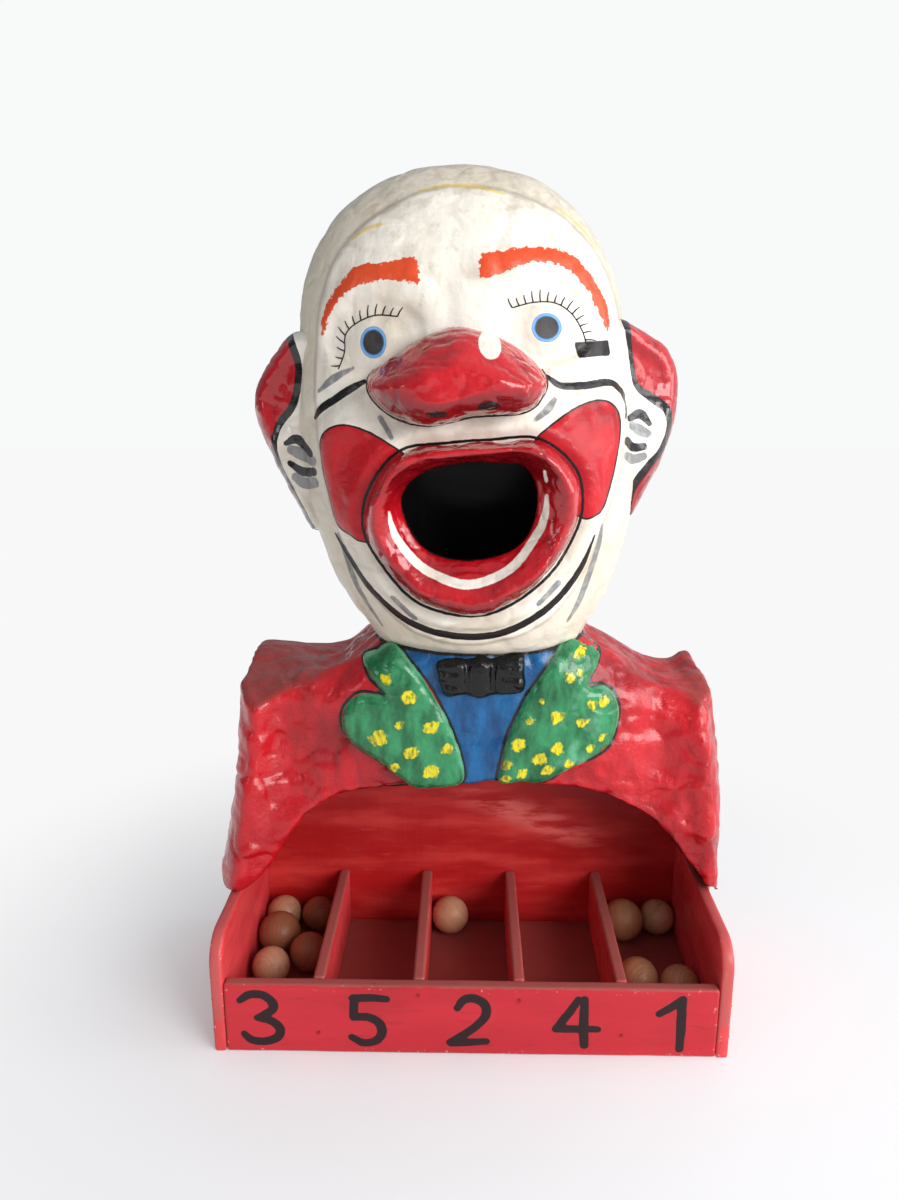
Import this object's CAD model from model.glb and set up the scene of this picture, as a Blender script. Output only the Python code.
"""Clown-head ball toss game: papier-mache head and bust on a painted wooden tray.

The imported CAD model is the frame. The papier-mache pieces and the boards are modelled here as distance
fields on a grid, in millimetres in the row frame, and each stands for its CAD node. The painted areas
are kept on the meshes as signed distances to their edges, which the materials turn into colour.
"""
import functools
import itertools
import math

import bpy
import numpy as np
import openvdb
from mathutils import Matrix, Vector
from mathutils.bvhtree import BVHTree


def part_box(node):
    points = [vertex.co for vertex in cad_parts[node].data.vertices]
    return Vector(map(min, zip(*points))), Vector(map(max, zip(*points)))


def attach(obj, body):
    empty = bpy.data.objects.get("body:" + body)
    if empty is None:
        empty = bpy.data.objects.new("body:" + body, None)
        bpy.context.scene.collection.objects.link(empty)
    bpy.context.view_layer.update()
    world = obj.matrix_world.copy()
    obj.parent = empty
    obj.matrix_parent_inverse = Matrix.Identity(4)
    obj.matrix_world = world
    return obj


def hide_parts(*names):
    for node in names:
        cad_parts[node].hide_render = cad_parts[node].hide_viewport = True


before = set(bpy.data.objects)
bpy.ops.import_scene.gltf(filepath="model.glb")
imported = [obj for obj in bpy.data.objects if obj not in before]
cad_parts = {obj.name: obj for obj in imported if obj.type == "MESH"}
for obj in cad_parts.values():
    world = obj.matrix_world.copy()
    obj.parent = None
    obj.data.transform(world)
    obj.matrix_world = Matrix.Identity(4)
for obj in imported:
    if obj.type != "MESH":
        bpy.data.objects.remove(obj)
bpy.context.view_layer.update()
BODY = "game"
MM = 0.001
FAR = 30.0
LAST_CELL = 1.001  # keeps a place on the last grid point inside the last cell


def box_mm(node, margin=0):
    """The lowest and highest corners of a CAD node in millimetres, with a margin round them."""
    low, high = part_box(node)
    return np.array(low) / MM - margin, np.array(high) / MM + margin


# Fields


def lattice(low, high, step):
    """Open grids of x, y and z from low to high, in millimetres."""
    axes = [np.arange(a, b + step, step, dtype=np.float32) for a, b in zip(low, high)]
    return np.meshgrid(*axes, indexing="ij", sparse=True)


def even(field, step):
    """The field scaled to grow by one a millimetre near its surface."""
    slopes = np.gradient(field, step)
    size = np.sqrt(sum(slope * slope for slope in slopes))
    return np.clip(field / np.maximum(size, 1e-3), -FAR, FAR)


def blend_low(a, b, radius):
    """The lower of two fields, with a rounded seam."""
    share = np.clip(0.5 + 0.5 * (b - a) / radius, 0, 1)
    return b + (a - b) * share - radius * share * (1 - share)


def blend_high(a, b, radius):
    """The higher of two fields, with a rounded seam."""
    return -blend_low(-a, -b, radius)


def round_high(radius, *fields):
    """The highest of several fields, with a round corner between them."""
    past = [field + radius for field in fields]
    outside = np.sqrt(sum(np.maximum(part, 0) ** 2 for part in past))
    return outside + np.minimum(functools.reduce(np.maximum, past), 0) - radius


def ramp(value, low, high):
    """0 below low, 1 above high and smooth between."""
    share = np.clip((value - low) / (high - low), 0, 1)
    return share * share * (3 - 2 * share)


def hill(distance, reach):
    """1 inside an outline and 0 outside it, with a smooth slope reach wide on both sides."""
    return 1 - ramp(distance, -reach, reach)


def ridge(distance, centre, width):
    """A smooth ridge that runs along an outline, centre millimetres away from it."""
    return np.exp(-(((distance - centre) / width) ** 2))


def follow(rows, column, at):
    """A smooth curve through one column of rows, read at the heights in at."""
    keys, values = rows[:, 0], rows[:, column]
    slopes = np.gradient(values, keys)
    place = np.clip(np.searchsorted(keys, at) - 1, 0, len(keys) - 2)
    width = keys[place + 1] - keys[place]
    t = np.clip((at - keys[place]) / width, 0, 1)
    return (
        (2 * t**3 - 3 * t**2 + 1) * values[place]
        + (t**3 - 2 * t**2 + t) * width * slopes[place]
        + (3 * t**2 - 2 * t**3) * values[place + 1]
        + (t**3 - t**2) * width * slopes[place + 1]
    )


def read_cells(table, cell, part):
    """A table read between its entries, as if it repeated in all directions."""
    total = 0
    for corner in itertools.product((0, 1), repeat=table.ndim):
        weight = np.prod(np.where(corner, part, 1 - part), axis=-1)
        total = total + weight * table[tuple(np.moveaxis((cell + corner) % table.shape, -1, 0))]
    return total


def sample(field, low, step, points):
    """The field read between its grid points."""
    at = np.clip((points - low) / step, 0, np.array(field.shape) - LAST_CELL)
    cell = at.astype(int)
    return read_cells(field, cell, at - cell)


def lumps(points, size, seed):
    """Smooth random heights from -1 to 1, in lumps about size millimetres across."""
    table = np.random.default_rng(seed).uniform(-1, 1, (32, 32, 32))
    at = points / size + 100
    cell = np.floor(at).astype(int)
    part = at - cell
    return read_cells(table, cell, part * part * (3 - 2 * part))


def creases(points, size, seed):
    """Narrow folds between smooth patches, from -1 in a fold to 0."""
    return -np.maximum(1 - 5 * np.abs(lumps(points, size, seed)), 0)


# Outlines in the upright X-Z plane


def smooth(points, closed=True, parts=5):
    """Points on a smooth curve through the given ones."""
    rows = np.array(points, float)
    if closed:
        rows = np.vstack((rows[-1:], rows, rows[:2]))
    else:
        rows = np.vstack((2 * rows[0] - rows[1], rows, 2 * rows[-1] - rows[-2]))
    a, b, c, d = rows[:-3], rows[1:-2], rows[2:-1], rows[3:]
    steps = [
        0.5 * (2 * b + (c - a) * t + (2 * a - 5 * b + 4 * c - d) * t**2 + (3 * b - a - 3 * c + d) * t**3)
        for t in np.arange(parts) / parts
    ]
    curve = np.stack(steps, axis=1).reshape(-1, rows.shape[1])
    return curve if closed else np.vstack((curve, rows[-2:-1]))


def near(line, x, z):
    """A far distance for each place, which places lie near a line, and the x and z of those."""
    x, z = np.broadcast_arrays(x, z)
    low, high = line.min(0)[:2] - FAR, line.max(0)[:2] + FAR
    close = (x > low[0]) & (x < high[0]) & (z > low[1]) & (z < high[1])
    return np.full(x.shape, FAR), close, x[close], z[close]


def to_stretch(x, z, start, end):
    """The share along a straight stretch that is nearest to each place, and the squared distance."""
    run_x, run_z = end[0] - start[0], end[1] - start[1]
    away_x, away_z = x - start[0], z - start[1]
    share = np.clip((away_x * run_x + away_z * run_z) / (run_x * run_x + run_z * run_z), 0, 1)
    return share, (away_x - share * run_x) ** 2 + (away_z - share * run_z) ** 2


def patch(points, x, z, rounded=True):
    """Signed distance to a closed outline, negative inside."""
    ring = smooth(points) if rounded else np.array(points, float)
    found, close, x, z = near(ring, x, z)
    best = np.full(x.shape, FAR**2)
    inside = np.zeros(x.shape, bool)
    for start, end in zip(ring, np.roll(ring, -1, 0)):
        best = np.minimum(best, to_stretch(x, z, start, end)[1])
        if start[1] != end[1]:
            slant = (end[0] - start[0]) / (end[1] - start[1])
            inside ^= ((start[1] > z) != (end[1] > z)) & (x < start[0] + (z - start[1]) * slant)
    found[close] = np.where(inside, -1, 1) * np.sqrt(best)
    return found


def stroke(points, x, z):
    """Signed distance to a brush stroke through points of (x, z, half width)."""
    line = smooth(points, closed=False)
    found, close, x, z = near(line, x, z)
    best = found[close]
    for start, end in zip(line, line[1:]):
        share, away = to_stretch(x, z, start, end)
        best = np.minimum(best, np.sqrt(away) - start[2] - share * (end[2] - start[2]))
    found[close] = best
    return found


def oval(shape, x, z):
    """Signed distance to an oval given as (centre x, centre z, half width, half height, lean)."""
    centre_x, centre_z, wide, tall, lean = shape
    turn = math.radians(lean)
    across = (x - centre_x) * math.cos(turn) + (z - centre_z) * math.sin(turn)
    up = (z - centre_z) * math.cos(turn) - (x - centre_x) * math.sin(turn)
    return np.minimum((np.hypot(across / wide, up / tall) - 1) * min(wide, tall), FAR)


def lowest(shapes):
    """The lowest of several distances, which joins their areas."""
    return np.minimum.reduce(list(shapes))


def strokes(lines, x, z):
    """Signed distance to several brush strokes."""
    return lowest(stroke(line, x, z) for line in lines)


def patches(outlines, x, z):
    """Signed distance to several closed outlines."""
    return lowest(patch(outline, x, z) for outline in outlines)


def relief_of(field, low, step):
    """The front face of a field, as a function that gives the height y over x and z."""
    solid = field < 0
    first = np.argmax(solid, axis=1)
    hit = solid.any(axis=1) & (first > 0)
    rows, columns = np.indices(first.shape)
    here = field[rows, first, columns]
    before = field[rows, np.maximum(first - 1, 0), columns]
    share = here / np.where(here == before, 1, here - before)
    height = low[1] + np.where(hit, first - share, field.shape[1]) * step
    return lambda x, z: sample(height, low[[0, 2]], step, np.stack(np.broadcast_arrays(x, z), axis=-1))


# Meshes


def add_object(name, data):
    """A new object in the scene."""
    added = bpy.data.objects.new(name, data)
    bpy.context.scene.collection.objects.link(added)
    return added


def add_piece(name, node, points, faces, material):
    """A smooth mesh piece of the game that stands for a CAD node, from points in millimetres."""
    mesh = bpy.data.meshes.new(name)
    mesh.from_pydata((points * MM).tolist(), [], faces)
    mesh.shade_smooth()
    mesh.materials.append(material)
    piece = add_object(name, mesh)
    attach(piece, BODY)
    if node:
        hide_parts(node)
    return piece


def surface(field, low, step):
    """The points and faces of a field's zero surface."""
    grid = openvdb.FloatGrid()
    grid.background = FAR
    grid.copyFromArray(np.ascontiguousarray(field, dtype=np.float32))
    points, faces = grid.convertToQuads(isovalue=0.0)
    return points * step + np.array(low), faces


def point_normals(points, faces):
    """The direction that each point of a mesh of quads faces."""
    corners = points[faces]
    face_normals = np.cross(corners[:, 2] - corners[:, 0], corners[:, 3] - corners[:, 1])
    normals = np.zeros_like(points)
    for corner in range(4):
        np.add.at(normals, faces[:, corner], face_normals)
    return normals / np.maximum(np.linalg.norm(normals, axis=1, keepdims=True), 1e-9)


def keep(piece, **values):
    """Stores one value a point on the piece's mesh for each name."""
    for name, numbers in values.items():
        store = piece.data.attributes.new(name, "FLOAT", "POINT")
        store.data.foreach_set("value", np.ascontiguousarray(numbers, dtype=np.float32))


def paper_heights(points, seed, coarse):
    """The uneven surface of glued paper: swells, small lumps and the folds between strips."""
    swell = 0.5 * lumps(points, coarse, seed) + 0.34 * lumps(points, coarse * 0.42, seed + 1)
    fine = 0.2 * lumps(points, coarse * 0.2, seed + 2) + 0.09 * lumps(points, coarse * 0.1, seed + 5)
    folds = 0.3 * creases(points, coarse * 0.75, seed + 3) + 0.2 * creases(points, coarse * 0.36, seed + 4)
    return swell + fine + folds


def paper_piece(name, node, shape, step, seed, rough, material, skin=None):
    """A piece of painted papier-mache from its field, rough outside its skin and smooth inside it."""
    field, low = shape
    coarse, amount = rough
    points, faces = surface(field, low, step)
    normals = point_normals(points, faces)
    heights = paper_heights(points, seed, coarse)
    depth = 0 * heights if skin is None else -sample(skin, low, step, points)
    fade = (1 - 0.75 * ramp(points[:, 1], BACK_Y - 18, BACK_Y - 6)) * (1 - ramp(depth, 2, 5))
    points = points + normals * (heights * amount * fade)[:, None]
    points[:, 1] = np.minimum(points[:, 1], BACK_Y)
    piece = add_piece(name, node, points, faces.tolist(), material)
    keep(piece, lump=heights, up=normals[:, 2], depth=depth)
    return piece, points


# Head

HEAD_STEP = 2.0
HEAD_THICK = 7.0
WIDEST_Y = 52.0
BACK_Y = box_mm("back_board")[1][1]
CROWN_START = 590.0
CROWN_HEIGHT = box_mm("head_shell")[1][2] - 1.5 - CROWN_START
CROWN_POWER = 2.15
SIDE_POWER = 2.25
# height, centre x, half width, front y
HEAD_ROWS = np.array((
    (296, 6, 84, -6), (334, 6, 90, -18), (341, 5.5, 95, -34), (352, 5, 100, -44), (368, 4, 111, -49),
    (392, 2, 125, -53), (425, 0, 135, -56), (470, -3, 144, -58), (530, -7, 145, -59), (590, -9.5, 137, -58),
    (660, -12.5, 136, -58),
), float)
HEAD_LOW = np.array((-166.0, -76.0, 300.0))
HEAD_HIGH = np.array((146.0, BACK_Y, 738.0))
LIP_RISE = 25.0
LIP_CREST = 0.36  # where the lips stand highest, from their outer edge to the mouth
EAR_RADIUS = 10.0

MASK = (
    (-122, 500), (-126, 545), (-123, 592), (-115, 632), (-96, 664), (-58, 691), (-10, 703), (42, 694), (82, 670),
    (107, 636), (119, 592), (124, 545), (120, 498), (106, 450), (88, 404), (54, 366), (0, 350), (-54, 362),
    (-92, 402), (-112, 448),
)
BROWS = (
    (
        (-45, 648), (-41, 639), (-43, 630), (-60, 633), (-84, 630), (-102, 620), (-112, 606), (-117, 595),
        (-116, 609), (-105, 627), (-88, 643), (-64, 645),
    ),
    (
        (6, 650), (4, 640), (6, 633), (26, 640), (48, 646), (70, 641), (88, 624), (103, 598), (103, 614), (90, 636),
        (70, 653), (44, 656), (21, 653),
    ),
)
# centre x, centre z, half width, half height, lean
PUPILS = ((-75.5, 588.5, 7.6, 8.6, 0), (54, 599, 8.6, 7.8, 0))
LID_LEFT = ((-57, 607), (-74, 608), (-90, 602), (-98, 594), (-99, 582), (-104, 569))
LID_RIGHT = ((28, 613), (44, 617), (60, 617), (73, 610), (82, 598), (86, 588))
CHEEKS = (
    (
        (-121, 513), (-112, 524), (-96, 527), (-75, 520), (-55, 508), (-48, 496), (-64, 468), (-78, 440),
        (-88, 437), (-98, 441), (-109, 447), (-114, 464), (-120, 490),
    ),
    (
        (48, 519), (66, 533), (84, 543), (102, 545), (115, 535), (116, 516), (110, 484), (103, 463), (96, 458),
        (86, 456), (76, 466), (64, 490), (48, 506),
    ),
)
MOUTH = (
    (-55, 464), (-48, 485), (-23, 497), (10, 500), (39, 496), (49, 477), (45, 449), (28, 431), (-8, 424),
    (-39, 434),
)
LIPS = (
    (-85, 446), (-80, 478), (-56, 508), (-20, 514), (14, 516.5), (50, 517), (78, 494), (84, 464), (76, 436),
    (54, 406), (10, 380), (-40, 387), (-70, 416),
)
NOSE = (
    (-80, 562), (-66, 575), (-44, 590), (-16, 600), (12, 594), (38, 579), (54, 563), (51, 549), (38, 538), (0, 535),
    (-34, 528.5), (-60, 534), (-77, 548),
)
# Brush strokes, each point with its half width
SMILE = (
    (-114, 437, 0.8), (-104, 422, 2.4), (-84, 394, 3.2), (-54, 370, 3.4), (-16, 359, 3.4), (25, 362, 3.4),
    (62, 383, 3.2), (86, 411, 2.8), (98, 440, 0.8),
)
FOLD_LEFT = ((-83, 560, 1.8), (-95, 554, 3), (-108, 546, 3), (-120, 539, 3), (-127, 531, 1.6))
FOLD_RIGHT = (
    (55, 564, 1.4), (66, 557, 2.6), (86, 557, 3), (106, 559, 2.7), (117, 553, 2.3), (124, 543, 1.9),
    (124, 530, 0.8),
)
SOFT_STROKES = (
    ((-122, 552, 1.2), (-108, 562, 3), (-92, 570, 1)),
    ((-71, 533, 2.2), (-62, 519, 1.8)),
    ((61, 547, 2), (56, 540, 3), (46, 532, 1.4)),
    ((-111, 437, 1.4), (-97, 395, 2.4), (-76, 358, 1)),
    ((104, 447, 1.4), (102, 428, 2.6), (89, 385, 2.8), (79, 366, 1.2)),
    ((-64, 391, 2.2), (-47, 374, 2.8)),
    ((68, 404, 2.8), (53, 388, 2.4)),
)
BLOCK = ((77, 588), (104, 590), (106, 580), (80, 578))
GOLD_STROKES = (
    ((-92, 664, 0.6), (-82, 671, 1.3), (-66, 674, 0.8)),
    ((-44, 698, 0.6), (-22, 703, 1.4), (2, 702, 1.8), (22, 696, 0.8)),
    ((62, 690, 0.5), (82, 676, 0.9), (96, 660, 0.5)),
)

LEFT_EAR = (
    (-112, 588), (-134, 600), (-152, 596), (-170, 577), (-184, 556), (-188, 538), (-182, 515), (-164, 476),
    (-146, 441), (-138, 432), (-122, 440), (-112, 480), (-108, 540),
)
RIGHT_EAR = (
    (98, 592), (112, 606), (124, 607), (142, 597), (159, 587), (170, 571), (174, 550), (172, 526), (162, 494),
    (146, 459), (138, 444), (120, 450), (102, 490), (98, 540),
)
LEFT_BAND = (
    (-151, 597, 3.4), (-146, 584, 3.4), (-143, 566, 3.2), (-149, 541, 3.4), (-163, 524, 3.2), (-168, 508, 2.6),
    (-165, 492, 2.2), (-155, 470, 2), (-146, 451, 2), (-138, 435, 2.6),
)
RIGHT_BAND = (
    (121, 606, 3.2), (126, 584, 2), (133, 557, 2.4), (148, 546, 3.6), (162, 536, 3.4), (165, 520, 3),
    (159, 503, 3.2), (148, 490, 3.4), (138, 476, 3.2), (134, 462, 2.4), (136, 448, 1.4),
)
EAR_MARKS = (
    ((-158, 508, 2), (-147, 512, 4), (-134, 502, 3.4)),
    ((-155, 492, 2.2), (-143, 485, 4), (-131, 487, 3.6)),
    ((129, 530, 3), (138, 533, 4), (147, 525, 2.4)),
    ((126, 512, 3.4), (133, 506, 3.6), (143, 506, 3.2)),
)
EAR_SOFT_MARKS = (
    ((-153, 503, 4), (-144, 500, 5.4), (-132, 496, 4.6)),
    ((-150, 480, 4), (-142, 475, 5), (-131, 478, 4.6)),
    ((131, 524, 3.4), (140, 519, 4.6), (147, 516, 3)),
    ((126, 500, 3.4), (134, 496, 4.2), (143, 498, 3.4)),
)


def face_relief(x, z):
    """How far the face stands forward of the plain head."""
    lips, mask = patch(LIPS, x, z), patch(MASK, x, z)
    cheeks, brows = patches(CHEEKS, x, z), patches(BROWS, x, z)
    folds = strokes((FOLD_LEFT, FOLD_RIGHT), x, z)
    rise = 4.5 * hill(mask, 3.5) + 2.5 * hill(brows - 3, 9) + 5.5 * hill(cheeks - 3, 11)
    rise += 5.5 * ridge(lips, 10, 9) - 2.5 * ridge(stroke(SMILE, x, z), 0, 4) - 3 * ridge(folds, 0, 4)
    rise += 3 * hill(oval((-100, 534, 24, 12, 24), x, z), 8) + 3 * hill(oval((84, 550, 34, 9, -6), x, z), 7)
    for pupil in PUPILS:
        centre_x, centre_z = pupil[:2]
        socket = oval((centre_x, centre_z + 3, 34, 25, 0), x, z)
        eyeball = oval((centre_x, centre_z, 19, 15, 0), x, z)
        rise += 4.5 * hill(eyeball, 9) - 5 * hill(socket, 10) - 1.6 * ridge(socket, 1, 3.5)
    return rise - 2 * hill(oval((-20, 622, 6, 30, 0), x, z), 9)


def head_field(x, y, z, relief=0):
    """The whole head without its hollow, with its front pushed forward by the relief."""
    height = z.ravel().astype(float)
    centre, half, front = (follow(HEAD_ROWS, n, height).reshape(z.shape) for n in (1, 2, 3))
    y = y + relief * (1 - ramp(y, -10, 36))
    side = np.abs(x - centre) / half
    side = side / (1 - 0.015 * np.clip((y - WIDEST_Y) / (BACK_Y - WIDEST_Y), 0, 1))
    forward = np.maximum(WIDEST_Y - y, 0) / (WIDEST_Y - front)
    level = (side**SIDE_POWER + forward**SIDE_POWER) ** (1 / SIDE_POWER)
    up = np.maximum(z - CROWN_START, 0) / CROWN_HEIGHT
    return (level**CROWN_POWER + up**CROWN_POWER) ** (1 / CROWN_POWER) - 1


def head_shape():
    """The hollow head with its mouth hole, and the whole head that the other pieces lie on."""
    x, y, z = lattice(HEAD_LOW, HEAD_HIGH, HEAD_STEP)
    outer = even(head_field(x, y, z, over(face_relief, x, z)), HEAD_STEP)
    shell = np.maximum(outer, -(outer + HEAD_THICK))
    return blend_high(shell, -np.where(y < WIDEST_Y, outline_over(MOUTH, x, z), FAR), 3), outer


def over(rule, x, z):
    """What a rule says over the upright plane of a grid, or the same number everywhere."""
    return rule(x[:, 0, :], z[:, 0, :])[:, None, :] if callable(rule) else rule


def outline_over(outline, x, z):
    """Signed distance to a closed outline, over the upright plane of a grid."""
    return over(lambda across, up: patch(outline, across, up), x, z)


def pillow(outline, relief, node, step, height, rim, sunk=3.0):
    """A raised pad over a relief: height tall, and rounded off over rim at its outline."""
    low, high = box_mm(node, 7)
    high[1] = min(high[1], 40)
    x, y, z = lattice(low, high, step)
    tall, slope, base = (over(rule, x, z) for rule in (height, rim, relief))
    inset = np.maximum(outline_over(outline, x, z) + slope, 0) / slope
    rise = np.maximum(base - y, 0) / tall
    body = even((np.hypot(inset, rise) - 1) * np.minimum(slope, tall), step)
    return np.maximum(body, y - base - sunk), low


def lip_shape(relief, step):
    """The lips: a rolled ring that slopes in to the mouth hole."""
    low, high = box_mm("lip_ring", 6)
    x, y, z = lattice(low, high, step)
    outside, inside = outline_over(LIPS, x, z), -outline_over(MOUTH, x, z)
    across = np.clip(-outside / np.maximum(-outside - inside, 1e-3), 0, 1)
    outer_slope = np.sin(across / LIP_CREST * math.pi / 2) ** 0.7
    rise = LIP_RISE * np.where(across < LIP_CREST, outer_slope, 1 - ramp(across, 0.3, 1.15))
    base = over(relief, x, z)
    body = blend_high(even(base - rise - y, step), outside - 0.5, 5)
    return np.maximum(blend_high(body, inside, 3), y - base - 3), low


def ear_shape(outline, node, inner_x, outer_x, step):
    """One ear: a thick flap that leans back from the head to its rounded rim."""
    low, high = box_mm(node, 8)
    low[1] = -22
    x, y, z = lattice(low, high, step)
    edge = outline_over(outline, x, z)
    out = (x - inner_x) / (outer_x - inner_x)
    front = 1 + 31 * np.clip(out, 0, 1.2) - 4 * ridge(edge, -9, 7) + 13 * (1 - ramp(z, 440, 505))
    body = blend_high(round_high(EAR_RADIUS, edge, front - y), y - box_mm(node)[1][1], 9)
    head = even(head_field(x, y, z), step)
    return np.maximum(body, -(head + HEAD_THICK - 2)), low


# Bust

BUST_STEP = 2.4
BUST_THICK = 8.0
BUST_LOW = np.array((-258.0, -44.0, 56.0))
BUST_HIGH = np.array((254.0, BACK_Y, 362.0))
BUST_RADIUS = 30.0
BUST = (
    (-235, 30), (-233, 80), (-231, 106), (-227, 134), (-219, 179), (-214, 212), (-212, 262), (-211, 290),
    (-208, 306), (-200, 312), (-184, 311), (-160, 308), (-138, 308), (-116, 314), (-96, 330), (-60, 350), (0, 354),
    (66, 352), (100, 340), (112, 330), (130, 320), (154, 305), (174, 296), (194, 295), (205, 302), (214, 299),
    (219, 270), (223, 243), (227, 190), (229, 130), (231, 86), (232, 30),
)
ARCH = (
    (-224, 60), (-224, 103), (-206, 111), (-181, 133), (-153, 175), (-112, 201), (-54, 210), (12, 217), (61, 214),
    (114, 203), (164, 176), (197, 136), (213, 114), (224, 105), (224, 60),
)
SHIRT = (
    (-70, 362), (90, 362), (78, 340), (60, 318), (44, 290), (32, 260), (25, 230), (23, 200), (-7, 200), (-8, 232),
    (-14, 258), (-24, 284), (-38, 309), (-54, 330),
)
LEFT_LAPEL = (
    (-68, 341), (-82, 333), (-94, 325), (-87, 311), (-74, 298), (-96, 298), (-109, 287), (-114, 273), (-111, 258),
    (-98, 246), (-78, 234), (-61, 220), (-48, 211), (-26, 213), (-7, 219), (-9, 240), (-15, 260), (-25, 285),
    (-38, 309), (-53, 328),
)
RIGHT_LAPEL = (
    (90, 352), (104, 348), (114, 338), (112, 326), (100, 307), (113, 304), (123, 297), (128, 284), (126, 265),
    (120, 250), (104, 239), (85, 231), (64, 219), (43, 218), (24, 218), (26, 238), (32, 263), (44, 293), (60, 319),
    (76, 341),
)
BOW = (
    (-30, 328), (-15, 331), (0, 331), (8, 334), (16, 331), (29, 334), (43, 336), (45, 319), (44, 303), (28, 300),
    (16, 299), (6, 296), (-7, 299), (-21, 297), (-26, 305), (-29, 317),
)
# centre x, centre z, radius
LEFT_DABS = (
    (-72, 314, 4.6), (-54, 299, 7), (-62, 274, 3.2), (-35, 271, 6), (-80, 260, 8), (-52, 248, 6), (-21, 251, 5),
    (-67, 233, 4), (-34, 230, 6.5),
)
RIGHT_DABS = (
    (93, 335, 4.6), (83, 316, 4), (92, 319, 2.4), (59, 295, 3.2), (103, 291, 4.2), (113, 293, 4.4), (73, 281, 6),
    (50, 277, 3.2), (95, 275, 4.2), (40, 256, 6), (74, 252, 4.8), (113, 261, 3.2), (102, 252, 3.4), (58, 242, 5),
    (31, 236, 4.4), (84, 238, 4.4), (44, 229, 4.4), (66, 232, 4.6), (31, 224, 3.8),
)
ARM_RIDGES = (
    ((-189, 282, 6), (-197, 232, 10), (-206, 166, 10), (-216, 112, 8)),
    ((204, 268, 6), (211, 222, 10), (219, 160, 10), (225, 110, 8)),
)
SLEEVE_FOLDS = (
    ((-186, 250, 3), (-168, 258, 3), (-140, 256, 2)),
    ((-204, 196, 3), (-180, 208, 3), (-150, 204, 2)),
    ((-200, 150, 3), (-178, 158, 3)),
    ((196, 262, 3), (176, 248, 3), (150, 246, 2)),
    ((208, 214, 3), (186, 206, 3), (162, 214, 2)),
    ((214, 166, 3), (192, 172, 3), (176, 184, 2)),
)


def bust_relief(x, z):
    """How far the chest and sleeves stand forward of the plain bust, with a hollow beside each arm."""
    rise = 13 * hill(strokes(ARM_RIDGES, x, z), 15) + 3 * hill(strokes(SLEEVE_FOLDS, x, z), 10)
    rise += 4 * hill(oval((8, 270, 110, 70, 0), x, z), 16) - 9 * hill(oval((-160, 236, 18, 46, 0), x, z), 14)
    return rise - 8 * hill(oval((162, 236, 16, 42, 0), x, z), 14)


def bust_field(x, y, z):
    """The whole bust without its hollow."""
    outward = np.clip((np.abs(x) - 70) / 110, 0, 1)
    front = -18 + 16 * outward * ramp(z, 120, 300) - over(bust_relief, x, z)
    body = round_high(BUST_RADIUS, outline_over(BUST, x, z), front - y)
    collar = 46 * (1 - ramp(np.abs(x - 6), 84, 150))
    fall = 27 * ramp(np.abs(x - 6), 120, 205)
    slope = z - 312 - collar - fall * np.minimum(y - 84, 0) / 84
    return blend_high(body, slope, 6), slope


def bust_shape():
    """The hollow bust with its arch, the whole bust, the shoulder slope and the head inside it."""
    x, y, z = lattice(BUST_LOW, BUST_HIGH, BUST_STEP)
    outer, slope = (np.clip(field, -FAR, FAR) for field in bust_field(x, y, z))
    shell = np.maximum(outer, -(outer + BUST_THICK))
    shell = blend_high(shell, -np.where(y < 60, outline_over(ARCH, x, z), FAR), 4)
    wall_low, wall_high = box_mm("left_side_wall")[0], box_mm("right_side_wall")[1]
    clear = 0.6
    tray = np.maximum(np.maximum(wall_low[0] - clear - x, x - wall_high[0] - clear), z - wall_high[2] - clear)
    shell = np.maximum(shell, -tray)
    foot = 76 + 12 * np.clip((40 - y) / 60, 0, 1) - z
    shell = blend_high(shell, foot + 0 * x, 3)
    neck = even(head_field(x, y, z), BUST_STEP)
    return np.maximum(shell, -(neck + HEAD_THICK - 1)), outer, slope, neck


# Materials


def rgb(*levels):
    """A colour from its 0 to 255 screen levels."""
    return tuple(((level / 255 + 0.055) / 1.055) ** 2.4 for level in levels)


BLACK = (24, 18, 19)
GREY = (98, 104, 110)
CREAM = (233, 227, 215)
DUSTY_CREAM = (196, 182, 160)
RED = (190, 18, 30)
DEEP_RED = (128, 8, 18)
BRIGHT_RED = (208, 44, 52)
INSIDE = (15, 10, 9)


class Nodes:
    """A node tree, with short calls that add nodes and give their outputs."""

    def __init__(self, tree):
        self.tree = tree

    def fill(self, node, inputs):
        """Links outputs to a node's inputs, or sets the inputs' own values."""
        for key, value in inputs.items():
            socket = node.inputs[key]
            if isinstance(value, bpy.types.NodeSocket):
                self.tree.links.new(value, socket)
            else:
                socket.default_value = (*value, 1) if socket.type == "RGBA" else value

    def node(self, kind, inputs, **settings):
        """A shader node with its inputs and settings filled in."""
        node = self.tree.nodes.new("ShaderNode" + kind)
        for name, value in settings.items():
            setattr(node, name, value)
        self.fill(node, inputs)
        return node

    def math(self, operation, *values):
        """One math node's result."""
        return self.node("Math", dict(enumerate(values)), operation=operation).outputs[0]

    def vector(self, operation, *values):
        """One vector math node."""
        return self.node("VectorMath", dict(enumerate(values)), operation=operation).outputs

    def mix(self, share, first, second):
        """The first colour turned into the second by share."""
        return self.node("Mix", {0: share, 6: first, 7: second}, data_type="RGBA").outputs[2]


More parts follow.
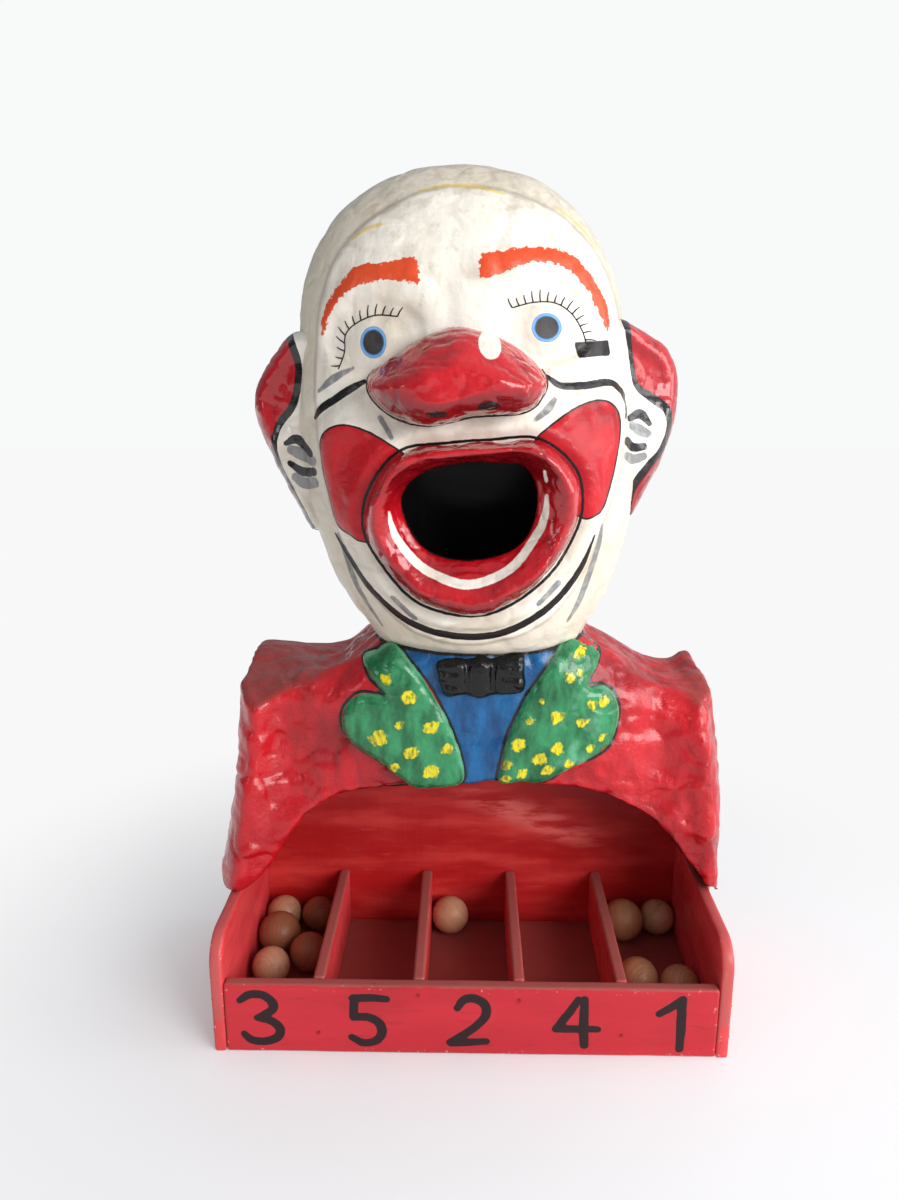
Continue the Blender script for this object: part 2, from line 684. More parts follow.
class Paint(Nodes):
    """A material whose colour is laid on in coats. Its colours are 0 to 255 screen levels."""

    def __init__(self, name, roughness, coat=0.0, coat_roughness=0.1):
        self.material = bpy.data.materials.new(name)
        self.material.use_nodes = True
        super().__init__(self.material.node_tree)
        self.shader = self.tree.nodes["Principled BSDF"]
        self.fill(self.shader, {"Roughness": roughness, "Specular IOR Level": 0.25})
        self.fill(self.shader, {"Coat Weight": coat, "Coat Roughness": coat_roughness})
        self.place = self.node("TexCoord", {}).outputs["Object"]
        self.colour = None

    def mix(self, share, *colours):
        """The first colour turned into the second by share."""
        return super().mix(share, *(rgb(*colour) if isinstance(colour, tuple) else colour for colour in colours))

    def sum(self, first, *others):
        """The sum of (value, weight) pairs added to the first value."""
        for value, weight in others:
            first = self.math("MULTIPLY_ADD", value, weight, first)
        return first

    def range(self, value, low, high, start=0.0, end=1.0):
        """The value's place between low and high, smooth at both ends, from start to end."""
        keys = {"Value": value, "From Min": low, "From Max": high, "To Min": start, "To Max": end}
        return self.node("MapRange", keys, interpolation_type="SMOOTHSTEP").outputs[0]

    def kept(self, name, *limits):
        """One of the mesh's stored values, or its place between two limits."""
        value = self.node("Attribute", {}, attribute_name=name).outputs["Fac"]
        return self.range(value, *limits) if limits else value

    def spot(self, size, stretch=(1, 1, 1), centre=(0, 0, 0)):
        """The place on the piece counted in steps of size millimetres from a centre."""
        away = self.vector("SUBTRACT", self.place, centre)[0]
        return self.vector("MULTIPLY", away, tuple(part / (size * MM) for part in stretch))[0]

    def noise(self, size, detail=3.0, stretch=(1, 1, 1)):
        """Cloudy noise from 0 to 1 in patches about size millimetres across."""
        keys = {"Vector": self.spot(size, stretch), "Scale": 1.0, "Detail": detail, "Roughness": 0.55}
        return self.node("TexNoise", keys).outputs[0]

    def cloud(self, size, low, high, detail=3.0, stretch=(1, 1, 1), start=0.0):
        """Noise from start where it is under low to 1 where it is over high."""
        return self.range(self.noise(size, detail, stretch), low, high, start)

    def uneven(self, size, start, end):
        """A roughness that changes from start to end in patches."""
        return self.range(self.noise(size), 0.3, 0.7, start, end)

    def below(self, distance, edge=0.0, soft=0.35):
        """1 where a distance is under the edge, with a soft border."""
        return self.range(distance, edge - soft, edge + soft, 1.0, 0.0)

    def band(self, distance, half_width, soft=0.3):
        """1 along an outline."""
        return self.below(self.math("ABSOLUTE", distance), half_width, soft)

    def wobble(self, name, amount=0.9, size=5.0):
        """A stored distance with the unsteadiness of a brush added."""
        return self.sum(self.kept(name), (self.sum(self.noise(size, 2.0), (-1.0, 0.5)), amount))

    def mark(self, name, amount=0.9, size=5.0, edge=0.0, soft=0.35):
        """1 inside a stored outline that was painted by hand."""
        return self.below(self.wobble(name, amount, size), edge, soft)

    def line(self, name, amount, size, centre, half_width):
        """1 along a line painted by hand, centre millimetres outside a stored outline."""
        return self.band(self.sum(self.wobble(name, amount, size), (-1.0, centre)), half_width)

    def start(self, share, first, second):
        """Starts the colour with a mix of two."""
        self.colour = self.mix(share, first, second)

    def lay(self, area, colour, strength=1.0):
        """Lays a colour over an area of the coats so far."""
        self.colour = self.mix(self.math("MULTIPLY", area, strength), self.colour, colour)

    def bump(self, *heights):
        """Fine relief from (height, millimetres) pairs."""
        normal = {}
        for height, depth in heights:
            keys = {"Height": height, "Distance": depth * MM, "Strength": 1.0, **normal}
            normal = {"Normal": self.node("Bump", keys).outputs[0]}
        self.fill(self.shader, normal)

    def finish(self, **inputs):
        """The material with its colour, and its roughness where that varies."""
        self.fill(self.shader, {"Base Color": self.colour, **inputs})
        return self.material

    # Coats that several materials share

    def cream_coat(self):
        """Aged off-white enamel with smudges, thin places and brush streaks."""
        self.start(self.cloud(75, 0.46, 0.72, 4.0), CREAM, (214, 204, 187))
        self.lay(self.cloud(24, 0.58, 0.76, 5.0, (1, 1, 0.5)), DUSTY_CREAM, 0.35)
        self.lay(self.kept("lump", -0.15, -0.75), (176, 160, 138), 0.4)
        self.lay(self.cloud(26, 0.58, 0.8, 3.0, (1, 1, 9)), (244, 241, 233), 0.5)
        self.lay(self.cloud(2.6, 0.77, 0.81, 1.0), (120, 96, 78), 0.35)
        return self.colour

    def red_coat(self):
        """Brushed red enamel: deeper in the hollows, thin and pinkish where it stands up."""
        self.start(self.cloud(42, 0.36, 0.68, 4.0), RED, (168, 12, 24))
        self.lay(self.kept("lump", -0.05, -0.7), DEEP_RED, 0.65)
        self.lay(self.kept("lump", 0.25, 0.8), BRIGHT_RED, 0.55)
        self.lay(self.cloud(16, 0.6, 0.8, 4.0, (1, 1, 0.3)), (206, 70, 76), 0.35)
        self.lay(self.cloud(3.2, 0.765, 0.8, 1.0), (96, 20, 22), 0.5)
        return self.colour

    def pulp_inside(self):
        """Bare dark paper on the inside of a shell."""
        self.lay(self.kept("depth", 2.0, 4.0), self.mix(self.noise(20, 4.0), INSIDE, (26, 18, 15)))

    def paper_bump(self, strength=1.0):
        """The fine relief of brush hairs and paper pulp under enamel."""
        hairs = self.noise(7, 2.0, (1, 1, 8))
        reliefs = (self.noise(14), 1.3), (self.noise(4.5), 0.45), (hairs, 0.16)
        self.bump(*((height, depth * strength) for height, depth in reliefs))


def face_paint():
    """The head's enamel: cream, with every painted feature of the face."""
    paint = Paint("face_enamel", 0.34, 0.12, 0.12)
    red = paint.red_coat()
    paint.cream_coat()
    paint.lay(paint.kept("mask", -2.0, 5.0), (206, 195, 174), 0.6)
    paint.lay(paint.band(paint.kept("mask"), 1.4, 1.6), (150, 132, 108), 0.45)
    dusk = paint.range(paint.sum(paint.noise(9), (paint.kept("up"), 0.2)), 0.62, 0.8)
    paint.lay(dusk, (168, 152, 130), 0.3)
    paint.lay(paint.mark("gold", 1.6, 6, 0.3, 0.9), (224, 190, 92), 0.75)
    hairs = paint.cloud(7, 0.3, 0.6, start=0.7)
    paint.lay(paint.math("MULTIPLY", paint.mark("soft", soft=0.5), hairs), GREY, 0.85)
    paint.lay(paint.mark("brows", 7, 3.6, 0.2, 0.5), paint.mix(paint.noise(7), (222, 84, 44), (201, 66, 34)))
    paint.lay(paint.mark("cheeks", 0.8), red)
    eyes = paint.wobble("eyes", 0.6)
    paint.lay(paint.below(eyes, 2.6), (62, 116, 178))
    paint.lay(paint.band(paint.sum(eyes, (-1.0, 1.5)), 0.6, 0.6), (126, 178, 224), 0.85)
    paint.lay(paint.below(eyes, 0.2), paint.mix(paint.noise(6), (38, 36, 38), (66, 62, 60)))
    paint.lay(paint.mark("lines", 1.1, 7, soft=0.3), BLACK)
    for name, centre, half_width in (("cheeks", 0.3, 0.75), ("lips", 1.1, 1.2), ("nose", 0.8, 0.7)):
        paint.lay(paint.line(name, 0.9, 6, centre, half_width), BLACK)
    paint.pulp_inside()
    paint.paper_bump(0.8)
    return paint.finish(Roughness=paint.sum(paint.uneven(16, 0.28, 0.48), (paint.below(eyes, 3.0), 0.3)))


def jacket_paint():
    """The bust's enamel: red jacket, blue shirt front and black outlines round the lapels."""
    paint = Paint("jacket_enamel", 0.32, 0.5, 0.2)
    paint.red_coat()
    slope = paint.sum(paint.kept("slope"), (paint.noise(14), 7.0), (-1.0, 3.5))
    top = paint.math("MULTIPLY", paint.range(slope, -7.0, -1.0), paint.kept("up", 0.25, 0.6))
    paint.lay(top, paint.mix(paint.noise(22, 4.0), (136, 42, 40), (164, 62, 58)), 0.9)
    blue = paint.mix(paint.cloud(12, 0.35, 0.7, 4.0, (1, 1, 0.35)), (0, 64, 114), (0, 94, 150))
    paint.lay(paint.mark("shirt", 1.0), blue)
    paint.lay(paint.line("lapels", 1.1, 7, 1.0, 1.3), BLACK)
    paint.lay(paint.mark("chin", 1.2, 7, 3.0), BLACK)
    paint.pulp_inside()
    paint.paper_bump(1.6)
    return paint.finish(Roughness=paint.uneven(18, 0.24, 0.44))


def red_feature_paint(name):
    """Glossy red enamel with cream and black marks, for the lips, nose and ears."""
    paint = Paint(name, 0.28, 0.8, 0.12)
    cream = paint.cream_coat()
    paint.red_coat()
    paint.lay(paint.kept("up", 0.1, -0.7), (96, 4, 14), 0.75)
    paint.lay(paint.mark("cream"), cream)
    paint.lay(paint.mark("soft", soft=0.5), GREY, 0.8)
    paint.lay(paint.mark("lines", 1.0, 6, soft=0.3), BLACK)
    paint.paper_bump(0.9)
    return paint.finish(Roughness=paint.uneven(9, 0.14, 0.34))


def lapel_paint():
    """Green enamel with thick dabs of yellow."""
    paint = Paint("lapel_enamel", 0.3, 0.5, 0.12)
    paint.start(paint.cloud(13, 0.3, 0.7, 4.0, (1, 1, 0.4)), (16, 88, 50), (52, 142, 92))
    paint.lay(paint.kept("rim", -2.5, -0.2), (112, 182, 140), 0.55)
    paint.lay(paint.kept("lump", 0.2, 0.8), (120, 190, 150), 0.5)
    dabs = paint.wobble("dabs", 9, 5.5)
    grain = paint.noise(3.4, 3.0, (1, 1, 0.45))
    yellow = paint.mix(paint.range(grain, 0.42, 0.66), (232, 212, 8), (128, 134, 24))
    paint.lay(paint.below(dabs, 0.3, 0.9), yellow, 0.92)
    swirls = paint.math("MULTIPLY", grain, paint.below(dabs, 1.0, 1.0))
    paint.bump((paint.noise(14), 1.2), (paint.noise(4), 0.4), (swirls, 0.7))
    return paint.finish(Roughness=paint.uneven(9, 0.18, 0.4))


def black_paint(name, roughness):
    """Black enamel with brush marks."""
    paint = Paint(name, roughness, 0.3, 0.12)
    paint.start(paint.noise(12), (3, 3, 4), (16, 15, 17))
    paint.paper_bump(0.9)
    return paint.finish(Roughness=paint.uneven(8, roughness - 0.08, roughness + 0.12))


def board_paint(name, colours, streak, wear, wear_colour, inks=False):
    """Red gloss over pine: streaks along the grain, rubbed edges, chips and small scratches."""
    paint = Paint(name, 0.42, 0.2, 0.2)
    paint.start(paint.cloud(30, 0.34, 0.7, 4.0, streak), *colours)
    paint.lay(paint.cloud(60, 0.5, 0.75), (150, 30, 34), 0.4)
    pores = paint.noise(5, 3.0, streak)
    paint.lay(paint.range(pores, 0.62, 0.75), (112, 30, 30), 0.3)
    edge = paint.kept("edge")
    rubbed = paint.sum(edge, (paint.noise(9, 4.0), -6.0 * wear), (-1.0, -1.9 * wear))
    paint.lay(paint.below(rubbed, 0.4, 0.9), wear_colour, 0.8)
    chips = paint.math("MULTIPLY", paint.cloud(4, 0.66, 0.7), paint.below(edge, 4, 3))
    paint.lay(chips, (214, 170, 150), 0.85)
    worn_top = paint.sum(paint.kept("top"), (paint.noise(12, 4.0, streak), 1.5))
    paint.lay(paint.below(worn_top, 1.3, 0.4), wear_colour, 0.85)
    paint.lay(paint.cloud(3.4, 0.79, 0.81, 1.0), (70, 18, 20), 0.7)
    if inks:
        paint.lay(paint.mark("ink", 1.0, 6), paint.mix(paint.noise(10), (20, 6, 9), (42, 14, 19)))
    paint.bump((paint.noise(26, 3.0, streak), 0.5), (pores, 0.18))
    return paint.finish(Roughness=paint.uneven(18, 0.34, 0.56))


def back_board_paint():
    """The back board: streaked red in the tray, dark inside the head and bare wood behind."""
    paint = Paint("back_board_paint", 0.45, 0.15, 0.2)
    streaks = paint.noise(46, 5.0, (0.35, 1, 1.6))
    paint.start(paint.range(streaks, 0.42, 0.74), (176, 26, 28), (212, 62, 58))
    fine = paint.noise(9, 4.0, (0.3, 1, 2))
    paint.lay(paint.range(fine, 0.6, 0.8), (214, 84, 78), 0.35)
    x, y, z = paint.node("SeparateXYZ", {0: paint.place}).outputs  # in metres
    across = paint.sum(x, (-1.0, 0.06))
    swipe = paint.band(paint.sum(z, (across, 0.38), (-1.0, 0.128)), 0.014, 0.01)
    for area in (paint.band(across, 0.06, 0.04), paint.cloud(12, 0.42, 0.62, 4.0, (0.3, 1, 1.5))):
        swipe = paint.math("MULTIPLY", swipe, area)
    paint.lay(swipe, (232, 112, 106), 0.75)
    paint.lay(paint.range(z, 0.2, 0.26), INSIDE)
    grain = paint.noise(9, 5.0, (1, 1, 0.07))
    bare = paint.mix(paint.range(grain, 0.3, 0.7), (176, 140, 102), (132, 98, 68))
    knots = paint.math("MULTIPLY", paint.cloud(70, 0.5, 0.8, 4.0), 0.6)
    paint.lay(paint.range(y, 0.0965, 0.0972), paint.mix(knots, bare, (104, 78, 58)))
    paint.bump((grain, 0.5), (fine, 0.2))
    return paint.finish(Roughness=paint.range(streaks, 0.3, 0.7, 0.4, 0.62))


def ball_wood(node, light, dark, lean):
    """Turned beech for one ball, with its own tone and grain direction."""
    centre = tuple((a + b) / 2 for a, b in zip(*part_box(node)))
    paint = Paint(f"{node}_beech", 0.42, 0.12, 0.3)
    keys = {"Vector": paint.spot(1, centre=centre), "Axis": (math.sin(lean * 3), math.cos(lean * 3), 0.4)}
    turned = paint.node("VectorRotate", {**keys, "Angle": lean}).outputs[0]
    keys = {"Vector": turned, "Scale": 0.11, "Distortion": 2.2, "Detail": 2.0, "Detail Scale": 0.9}
    rings = paint.node("TexWave", keys, wave_type="RINGS", bands_direction="Z").outputs[1]
    along = paint.vector("MULTIPLY", turned, (1.6, 1.6, 0.12))[0]
    fibre = paint.node("TexNoise", {"Vector": along, "Scale": 1.0, "Detail": 4.0}).outputs[0]
    paint.start(paint.range(rings, 0.0, 1.0, 0.2, 0.65), light, dark)
    paint.lay(paint.range(fibre, 0.45, 0.7), dark, 0.4)
    paint.lay(paint.cloud(11, 0.55, 0.75, 4.0), (110, 66, 44), 0.4)
    paint.bump((fibre, 0.08), (rings, 0.05))
    return paint.finish(Roughness=paint.range(fibre, 0.3, 0.7, 0.34, 0.5))


def nail_metal():
    """Dull nail heads that red paint has half covered."""
    paint = Paint("painted_nails", 0.5)
    paint.start(paint.noise(2), (122, 26, 32), (168, 34, 42))
    paint.bump((paint.noise(1.2), 0.15))
    return paint.finish()


# Papier-mache pieces

FEATURE_STEP = 1.6
BOW_STEP = 1.4
STRIPE = (
    (-64, 464, 0.8), (-62, 452, 2), (-56, 439, 2.8), (-36, 418, 3), (-3, 408, 3.2), (29, 420, 3), (49, 445, 2.9),
    (55, 460, 2.6), (56, 476, 1.2),
)
STRIPE_END = ((55, 487, 1.2), (53, 495, 1))
NOSE_SPOT = (11, 586, 8, 10.5, 12)
NOSTRILS = ((-26, 538, 7.5, 2.4, 2), (10, 543.5, 8, 3.6, 8))
FRONT_Y = 34.0  # painted marks lie before this


def front_only(points, **distances):
    """Distances that count only on the front half of a piece."""
    return {name: np.where(points[:, 1] > FRONT_Y, FAR, distance) for name, distance in distances.items()}


def make_head():
    """The head, and its relief for the pieces that lie on it."""
    shell, outer = head_shape()
    piece, points = paper_piece(
        "head", "head_shell", (shell, HEAD_LOW), HEAD_STEP, 1, (58, 2.2), face_paint(), outer
    )
    x, _, z = points.T
    lines = (strokes((SMILE, FOLD_LEFT, FOLD_RIGHT) + EAR_MARKS, x, z), patch(BLOCK, x, z, rounded=False) - 0.8)
    marks = front_only(
        points,
        gold=strokes(GOLD_STROKES, x, z),
        soft=strokes(SOFT_STROKES + EAR_SOFT_MARKS, x, z),
        brows=patches(BROWS, x, z),
        cheeks=patches(CHEEKS, x, z),
        eyes=lowest(oval(pupil, x, z) for pupil in PUPILS),
        lines=lowest((*lines, patch(MOUTH, x, z) - 6)),
        lips=patch(LIPS, x, z),
        nose=np.where(z > 570, FAR, patch(NOSE, x, z)),
    )
    keep(piece, mask=patch(MASK, x, z), **marks)
    return piece, relief_of(outer, HEAD_LOW, HEAD_STEP)


def make_bust():
    """The bust's relief for the clothes that lie on it."""
    shell, outer, slope, neck = bust_shape()
    piece, points = paper_piece(
        "bust", "bust_shell", (shell, BUST_LOW), BUST_STEP, 11, (62, 5.8), jacket_paint(), outer
    )
    x, _, z = points.T
    marks = front_only(points, shirt=patch(SHIRT, x, z), lapels=patches((LEFT_LAPEL, RIGHT_LAPEL), x, z))
    fields = {"slope": slope, "chin": neck}
    keep(piece, **marks, **{name: sample(field, BUST_LOW, BUST_STEP, points) for name, field in fields.items()})
    return relief_of(outer, BUST_LOW, BUST_STEP)


def make_feature(name, node, shape, seed, rough, material, marks):
    """A red feature of the face, with its cream, soft and black marks."""
    piece, points = paper_piece(name, node, shape, FEATURE_STEP, seed, rough, material)
    x, _, z = points.T
    cream, soft, lines = marks(x, z)
    keep(piece, cream=cream, soft=soft, lines=lines)


def make_nose(relief):
    """The nose: a glossy bulb with a steep underside, a painted gleam and two nostrils."""

    def height(x, z):
        return 46 + 5 * ridge(z, 556, 22) - 0.05 * np.abs(x + 14)

    def rim(x, z):
        return 17 + 24 * ramp(z, 532, 586)

    def marks(x, z):
        return oval(NOSE_SPOT, x, z), np.full(len(x), FAR), lowest(oval(spot, x, z) for spot in NOSTRILS)

    shape = pillow(NOSE, relief, "nose", FEATURE_STEP, height, rim)
    make_feature("nose_bulb", "nose", shape, 21, (30, 2.3), red_feature_paint("nose_enamel"), marks)


def make_lips(relief):
    """The lips, with a cream stripe round their inner slope."""

    def marks(x, z):
        return strokes((STRIPE, STRIPE_END), x, z), np.full(len(x), FAR), patch(MOUTH, x, z) - 0.4

    shape = lip_shape(relief, FEATURE_STEP)
    make_feature("lips", "lip_ring", shape, 31, (32, 2.1), red_feature_paint("lip_enamel"), marks)


def make_ear(side, seed, outline, band, inner_x, outer_x, material):
    """One ear: a red rim round a cream hollow, with a black band between them."""
    edge = smooth(band, closed=False)[:, :2]
    hollow = np.vstack((edge, [(inner_x * 0.8, edge[-1, 1] - 8), (inner_x * 0.8, edge[0, 1] + 8)]))

    def marks(x, z):
        lines = np.minimum(strokes(EAR_MARKS, x, z), stroke(band, x, z))
        return patch(hollow, x, z, rounded=False), strokes(EAR_SOFT_MARKS, x, z), lines

    shape = ear_shape(outline, f"{side}_ear", inner_x, outer_x, FEATURE_STEP)
    make_feature(f"{side}_ear_flap", f"{side}_ear", shape, seed, (34, 1.8), material, marks)


def make_lapel(side, outline, dabs, relief, material):
    """One lapel: a puffed green leaf with yellow dabs."""
    node = f"{side}_lapel"
    shape = pillow(outline, relief, node, FEATURE_STEP, 8, 9)
    seed = 51 + len(dabs)
    piece, points = paper_piece(f"{node}_pad", node, shape, FEATURE_STEP, seed, (30, 1.9), material)
    x, _, z = points.T
    ovals = ((centre_x, centre_z, radius, radius * 0.85, 20) for centre_x, centre_z, radius in dabs)
    keep(piece, rim=patch(outline, x, z), dabs=lowest(oval(shape, x, z) for shape in ovals))


def make_bow_tie(relief):
    """The bow tie: two wings pinched in at a knot."""

    def height(x, z):
        knot = 1.5 * ridge(x, 7, 7) - 3.4 * ridge(x, -4, 3) - 3.4 * ridge(x, 18, 3)
        return 9 + knot + 1.1 * np.sin((z - 300) * 0.55 + 0.05 * (x - 7)) * ramp(np.abs(x - 7), 12, 30)

    shape = pillow(BOW, relief, "bow_tie", BOW_STEP, height, 6)
    paint = black_paint("bow_enamel", 0.22)
    paper_piece("bow_tie_relief", "bow_tie", shape, BOW_STEP, 71, (20, 1.2), paint)


head, head_relief = make_head()
bust_front = make_bust()
make_nose(head_relief)
make_lips(head_relief)
ear_material = red_feature_paint("ear_enamel")
make_ear("left", 41, LEFT_EAR, LEFT_BAND, -130, -188, ear_material)
make_ear("right", 42, RIGHT_EAR, RIGHT_BAND, 118, 174, ear_material)
lapel_material = lapel_paint()
make_lapel("left", LEFT_LAPEL, LEFT_DABS, bust_front, lapel_material)
make_lapel("right", RIGHT_LAPEL, RIGHT_DABS, bust_front, lapel_material)
make_bow_tie(bust_front)

# Eyelashes

LASH_STEP = 1.2
LASH_OUT, LASH_IN = -0.3, 0.7  # how far the strips lie before and behind the head's surface
# lid, number of lashes, lean of the first lash and of the last in degrees, reach
LASHES = ((LID_LEFT, 13, 57, 182, 7.6), (LID_RIGHT, 14, 117, -4, 7.4))


def lengths(line):
    """How far along a line each of its points is."""
    return np.append(0, np.cumsum(np.hypot(*np.diff(line[:, :2], axis=0).T)))


def lash_lines():
    """Each lid's line and the lashes along it, as points of (x, z, half width)."""
    found = []
    for lid, count, first, last, reach in LASHES:
        curve = smooth(lid, closed=False, parts=12)
        found.append(np.column_stack((curve, np.full(len(curve), 0.5))))
        along = lengths(curve)
        for number in range(count):
            share = number / (count - 1)
            root = np.array([np.interp(share * 0.96 * along[-1], along, curve[:, n]) for n in (0, 1)])
            lean = math.radians(first + (last - first) * share**1.3)
            long = reach * (1 + 0.18 * math.sin(5 * number))
            middle, tip = (
                root + part * long * np.array((math.cos(angle), math.sin(angle)))
                for part, angle in ((0.55, lean + 0.1), (1, lean))
            )
            found.append(np.array(((*root, 0.55), (*middle, 0.5), (*tip, 0.3))))
    return found


def make_lashes(surface_piece):
    """The lids and lashes: thin strips of paint that lie on the head."""
    mesh = surface_piece.data
    tree = BVHTree.FromPolygons([v.co for v in mesh.vertices], [p.vertices for p in mesh.polygons])

    def on_surface(x, z):
        hit = tree.ray_cast(Vector((x * MM, -1, z * MM)), Vector((0, 1, 0)))[0]
        return x, hit.y / MM, z

    points, faces = [], []
    for line in lash_lines():
        along = lengths(line)
        at = np.linspace(0, along[-1], max(int(along[-1] / LASH_STEP), 3))
        x, z, half = (np.interp(at, along, line[:, n]) for n in range(3))
        run_x, run_z = np.gradient(x), np.gradient(z)
        size = np.hypot(run_x, run_z)
        side_x, side_z = -run_z / size * half, run_x / size * half
        start = len(points)
        for row in zip(x, z, side_x, side_z):
            left, right = (on_surface(row[0] + way * row[2], row[1] + way * row[3]) for way in (1, -1))
            corners = (left, LASH_OUT), (right, LASH_OUT), (right, LASH_IN), (left, LASH_IN)
            points += [(edge[0], edge[1] + lift, edge[2]) for edge, lift in corners]
        last = len(points) - 4
        for here in range(start, last, 4):
            faces += [(here + k, here + k + 4, here + (k + 1) % 4 + 4, here + (k + 1) % 4) for k in range(4)]
        faces += [(start, start + 1, start + 2, start + 3), (last + 3, last + 2, last + 1, last)]
    add_piece("lashes", None, np.array(points), faces, black_paint("lash_ink", 0.35))


make_lashes(head)

# Tray

EDGE_RADIUS = 1.3
WALL_CORNER = 26.0
WORN = (150, 84, 78)
NUMERALS = (
    ((-195, 51, 3.2), (-187, 56.5, 4), (-176, 56.5, 4.1), (-168, 50, 4.2), (-168, 42, 4), (-181, 34, 3.2)),
    (
        (-181, 34, 3.2), (-169, 31, 4), (-162, 23, 4.2), (-165, 14.5, 4.1), (-176, 10.5, 4), (-187, 12, 3.8),
        (-193, 18, 3.2),
    ),
    ((-71, 54, 3.4), (-84, 55, 3.8), (-99, 54.5, 3.8)),
    ((-98, 54, 4), (-99, 36, 3.8)),
    ((-98, 36, 3.6), (-86, 36, 4), (-77, 30, 4.2), (-75, 21, 4.1), (-80, 13, 4), (-91, 10.5, 3.8), (-101, 16, 3.2)),
    ((-11, 46, 3.2), (-5, 54.5, 4), (5, 55.5, 4.1), (13, 48, 4.2), (12, 37, 4), (0, 24, 3.8), (-17, 12, 3.6)),
    ((-16, 11.5, 3.8), (0, 12.5, 3.8), (14, 13.5, 3.2)),
    ((91, 56, 3.2), (84, 44, 3.8), (73, 27, 3.8)),
    ((74, 27, 3.8), (90, 27, 3.8), (108, 27, 3.2)),
    ((96, 56, 3.6), (96, 32, 4.2), (97, 11, 3.8)),
    ((159, 43, 3.2), (168, 49, 3.8), (178, 57, 3.8)),
    ((177.5, 56, 4), (178, 34, 4.2), (178, 8.5, 3.6)),
)


def wall_profile(y, z, low, high):
    """Signed distance to a side wall's outline, seen from the side."""
    centre_y, centre_z = low[1] + WALL_CORNER, high[2] - WALL_CORNER
    corner = np.hypot(np.minimum(y - centre_y, 0), np.maximum(z - centre_z, 0)) - WALL_CORNER
    straight = np.maximum(np.maximum(low[1] - y, y - high[1]), np.maximum(low[2] - z, z - high[2]))
    return np.where((y < centre_y) & (z > centre_z), corner, straight)


def make_board(node, step, material, wall=False):
    """One board of the tray, with its edges eased and its distances to edge and top kept."""
    low, high = box_mm(node)
    grid = lattice(low - 3, high + 3, step)
    sides = [np.abs(v - (a + b) / 2) - (b - a) / 2 for v, a, b in zip(grid, low, high)]
    if wall:
        field = blend_high(wall_profile(*grid[1:], low, high), sides[0], 3)
    else:
        field = round_high(EDGE_RADIUS, *sides)
    points, faces = surface(field, low - 3, step)
    normals = point_normals(points, faces)
    seed = int(low[0]) % 97
    points = points + normals * (0.22 * lumps(points, 38, seed) + 0.1 * lumps(points, 9, seed + 1))[:, None]
    piece = add_piece(f"{node}_painted", node, points, faces.tolist(), material)
    gaps = np.maximum(np.minimum(points - low, high - points), 0)
    below_top = high[2] - points[:, 2]
    edge = np.sort(gaps, axis=1)[:, 1]
    if wall:
        profile = -wall_profile(points[:, 1], points[:, 2], low, high)
        edge = np.maximum(gaps[:, 0], profile)
        below_top = np.where(points[:, 2] > 30, np.maximum(profile, 0), FAR)
    keep(piece, edge=edge, top=below_top)
    return piece, points


ALONG_X, ALONG_Y = (0.12, 1, 1), (1, 0.12, 1)
front_paint = board_paint("front_enamel", ((196, 38, 50), (184, 32, 44)), ALONG_X, 0.5, WORN, inks=True)
wall_paint = board_paint("wall_enamel", ((222, 70, 74), (206, 56, 62)), ALONG_Y, 0.7, (186, 84, 82))
divider_paint = board_paint("divider_enamel", ((220, 70, 72), (202, 56, 60)), ALONG_Y, 0.9, WORN)
floor_paint = board_paint("tray_floor_enamel", ((206, 80, 76), (178, 62, 62)), ALONG_X, 0.3, (140, 70, 64))

front_board, front_points = make_board("front_board", 1.5, front_paint)
ink = strokes(NUMERALS, front_points[:, 0], front_points[:, 2])
keep(front_board, ink=np.where(front_points[:, 1] > box_mm("front_board")[0][1] + 2, FAR, ink))
for node in ("left_side_wall", "right_side_wall"):
    make_board(node, 1.8, wall_paint, wall=True)
for number in range(1, 5):
    make_board(f"divider_{number}", 1.6, divider_paint)
make_board("tray_floor", 2.5, floor_paint)

# CAD nodes that keep their shape


def dress(node, material):
    """Gives a CAD node its material."""
    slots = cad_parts[node].data.materials
    slots.clear()
    slots.append(material)


def ease(node, width):
    """Rounds a CAD board's sharp edges."""
    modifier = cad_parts[node].modifiers.new("eased", "BEVEL")
    modifier.width = width * MM
    modifier.segments = 2
    modifier.limit_method = "ANGLE"
    modifier.angle_limit = math.radians(50)


dress("back_board", back_board_paint())
for node in ("left_cleat", "right_cleat"):
    dress(node, wall_paint)
    ease(node, 0.8)
nails = nail_metal()
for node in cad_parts:
    if node.endswith(("_nails", "_tacks")):
        dress(node, nails)

LIGHT_TONE, MIDDLE_TONE, DARK_TONE = (
    ((196, 148, 116), (180, 130, 98)),
    ((180, 128, 94), (160, 108, 76)),
    ((154, 98, 70), (130, 78, 54)),
)
BALL_TONES = (
    LIGHT_TONE, DARK_TONE, DARK_TONE, DARK_TONE, LIGHT_TONE, LIGHT_TONE, MIDDLE_TONE, LIGHT_TONE, MIDDLE_TONE,
    MIDDLE_TONE,
)
for number, tones in enumerate(BALL_TONES, 1):
    dress(f"ball_{number}", ball_wood(f"ball_{number}", *tones, 0.9 * number))

# Stage

FLOOR_HALF = 6.0
PAPER_WHITE, NOTHING = (248, 248, 249), (0, 0, 0)
floor_mesh = bpy.data.meshes.new("floor")
corners = [(x * FLOOR_HALF, y * FLOOR_HALF, 0) for x, y in ((-1, -1), (1, -1), (1, 1), (-1, 1))]
floor_mesh.from_pydata(corners, [], [(0, 1, 2, 3)])
floor = add_object("floor", floor_mesh)
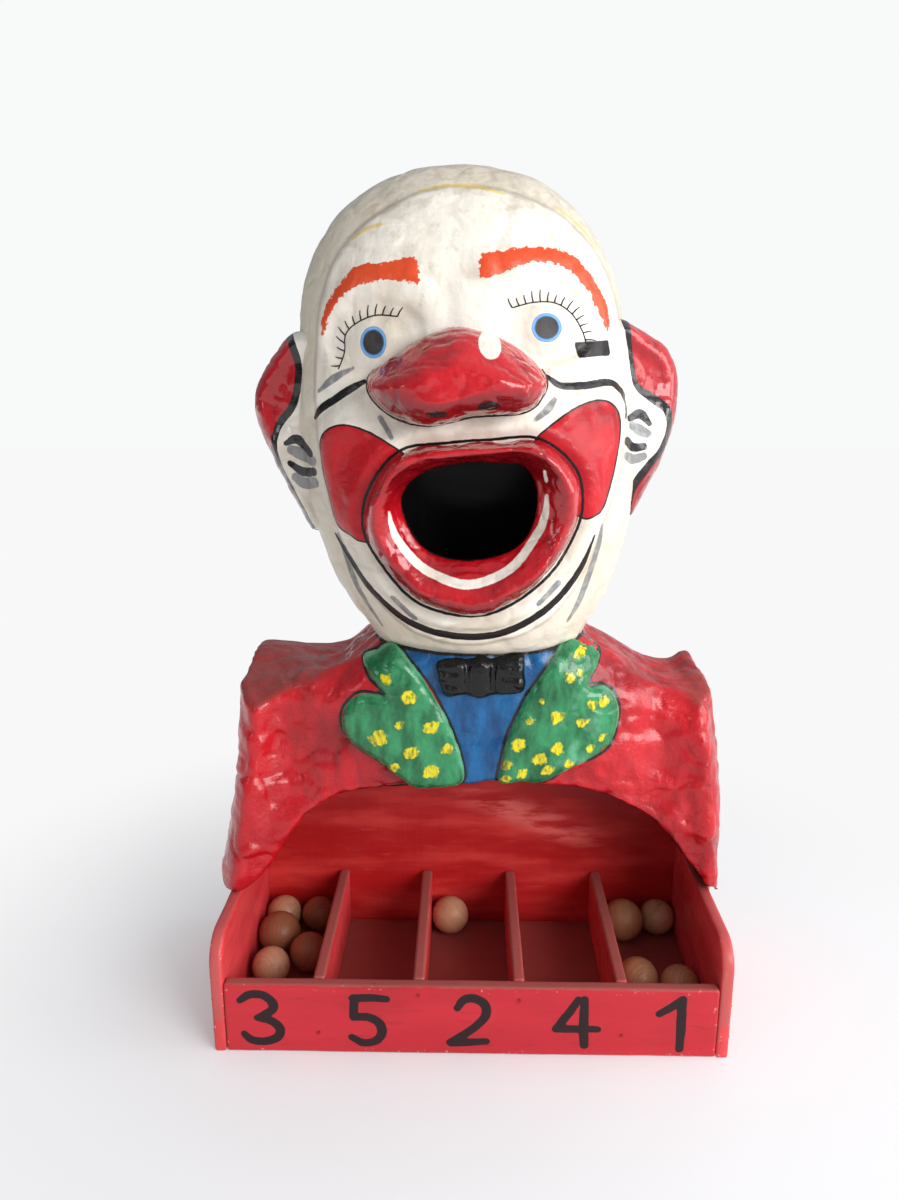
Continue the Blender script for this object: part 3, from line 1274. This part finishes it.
# The floor takes shadows near the game and turns into plain white away from it
pale = Paint("pale_floor", 0.8)
far = pale.range(pale.vector("LENGTH", pale.place)["Value"], 0.05, 0.7)
pale.start(pale.noise(400, 2.0), (243, 243, 244), (238, 239, 241))
pale.lay(far, NOTHING)
glow = {"Emission Color": pale.mix(far, NOTHING, PAPER_WHITE), "Emission Strength": 1.0}
floor_mesh.materials.append(pale.finish(**glow, **{"Specular IOR Level": 0.0}))

world = bpy.data.worlds.new("studio")
world.use_nodes = True
sky = Nodes(world.node_tree)
facing = sky.vector("DOT_PRODUCT", sky.node("TexCoord", {}).outputs["Generated"], (0.6, 0.1, 0.6))["Value"]
share = sky.node("MapRange", {"Value": facing, "From Min": -0.6, "From Max": 0.8}).outputs[0]
tint = sky.mix(share, (0.07, 0.07, 0.075), (0.6, 0.61, 0.63))
seen = sky.node("LightPath", {}).outputs["Is Camera Ray"]
sky.fill(sky.tree.nodes["Background"], {"Color": sky.mix(seen, tint, (0.94, 0.945, 0.95))})
bpy.context.scene.world = world
bpy.context.scene.view_settings.view_transform = "Standard"


def add_light(name, place, target, size, power):
    """A square area light that points at the target."""
    data = bpy.data.lights.new(name, "AREA")
    data.size = size
    data.energy = power
    light = add_object(name, data)
    light.location = place
    light.rotation_euler = (Vector(target) - Vector(place)).to_track_quat("-Z", "Y").to_euler()


add_light("key", (1.3, -1.5, 1.0), (0, 0, 0.4), 1.15, 39)
add_light("window", (2.1, -0.3, 1.0), (0, 0, 0.4), 1.4, 24)
add_light("fill", (-1.5, -1.3, 1.1), (0, 0, 0.4), 0.5, 3)

CAMERA_PLACE = (-4.5 * MM, -762.2 * MM, 570.5 * MM)
CAMERA_PITCH = 14.27
CAMERA_YAW = 1.12
CAMERA_LENS = 27.47
camera_data = bpy.data.cameras.new("camera")
camera_data.lens = CAMERA_LENS
camera = add_object("camera", camera_data)
camera.location = CAMERA_PLACE
camera.rotation_euler = (math.radians(90 - CAMERA_PITCH), 0, math.radians(CAMERA_YAW))
bpy.context.scene.camera = camera
